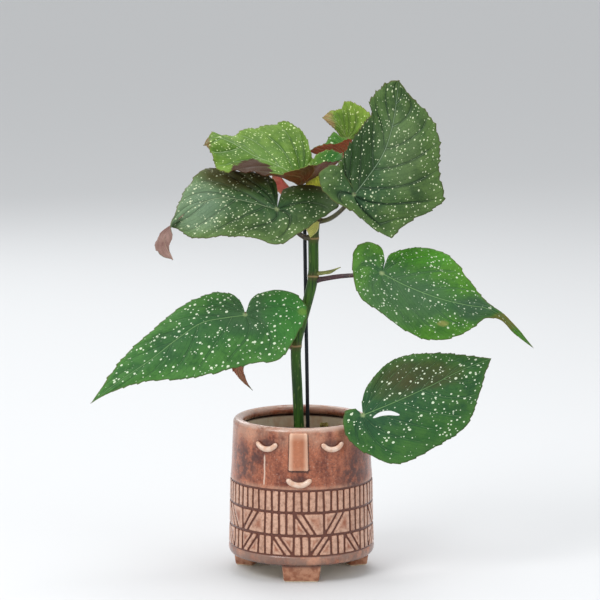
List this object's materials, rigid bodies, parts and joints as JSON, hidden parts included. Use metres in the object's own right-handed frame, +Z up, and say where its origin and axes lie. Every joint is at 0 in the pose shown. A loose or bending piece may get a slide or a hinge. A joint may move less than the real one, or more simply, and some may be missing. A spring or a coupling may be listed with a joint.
{
  "type": "potted angel wing begonia",
  "caption": "Upright cane begonia with spotted, wing-shaped leaves beside a thin stake, in a glazed pot on short feet with a relief face and bands of ornament.",
  "frame": {"origin": "on the surface that the pot stands on, below the middle of the whole plant's outer box", "axes": "+Z up, -Y towards the side that shows the pot's relief face, +X to the right of someone who looks at that face"},
  "size_m": [0.4282, 0.1751, 0.4911],
  "materials": {
    "glazed_terracotta": "gloss",
    "potting_soil": "matte",
    "stake_coating": "satin",
    "cane_skin": "satin",
    "petiole_skin": "satin",
    "mature_leaf": "satin",
    "young_leaf": "satin",
    "stipule_green": "satin",
    "stipule_pink": "satin",
    "dry_leaf": "matte"
  },
  "bodies": {
    "root": {"cane": "cane_skin", "dry_scrap": "dry_leaf", "leaf_high_left": "mature_leaf", "leaf_high_right": "mature_leaf", "leaf_low_back": "mature_leaf", "leaf_low_left": "mature_leaf", "leaf_low_right": "mature_leaf", "leaf_mid_right": "mature_leaf", "leaf_top_left": "young_leaf", "leaf_top_mid": "young_leaf", "leaf_top_right": "young_leaf", "petiole_high_left": "petiole_skin", "petiole_high_right": "petiole_skin", "petiole_low_back": "petiole_skin", "petiole_low_left": "petiole_skin", "petiole_low_right": "petiole_skin", "petiole_mid_right": "petiole_skin", "petiole_top_left": "petiole_skin", "petiole_top_mid": "petiole_skin", "petiole_top_right": "petiole_skin", "pot": "glazed_terracotta", "side_shoot": "stipule_green", "soil": "potting_soil", "stake": "stake_coating", "stipule_cane_top": "stipule_green", "stipule_crown": "stipule_green", "stipule_pink": "stipule_pink"}
  },
  "joints": []
}
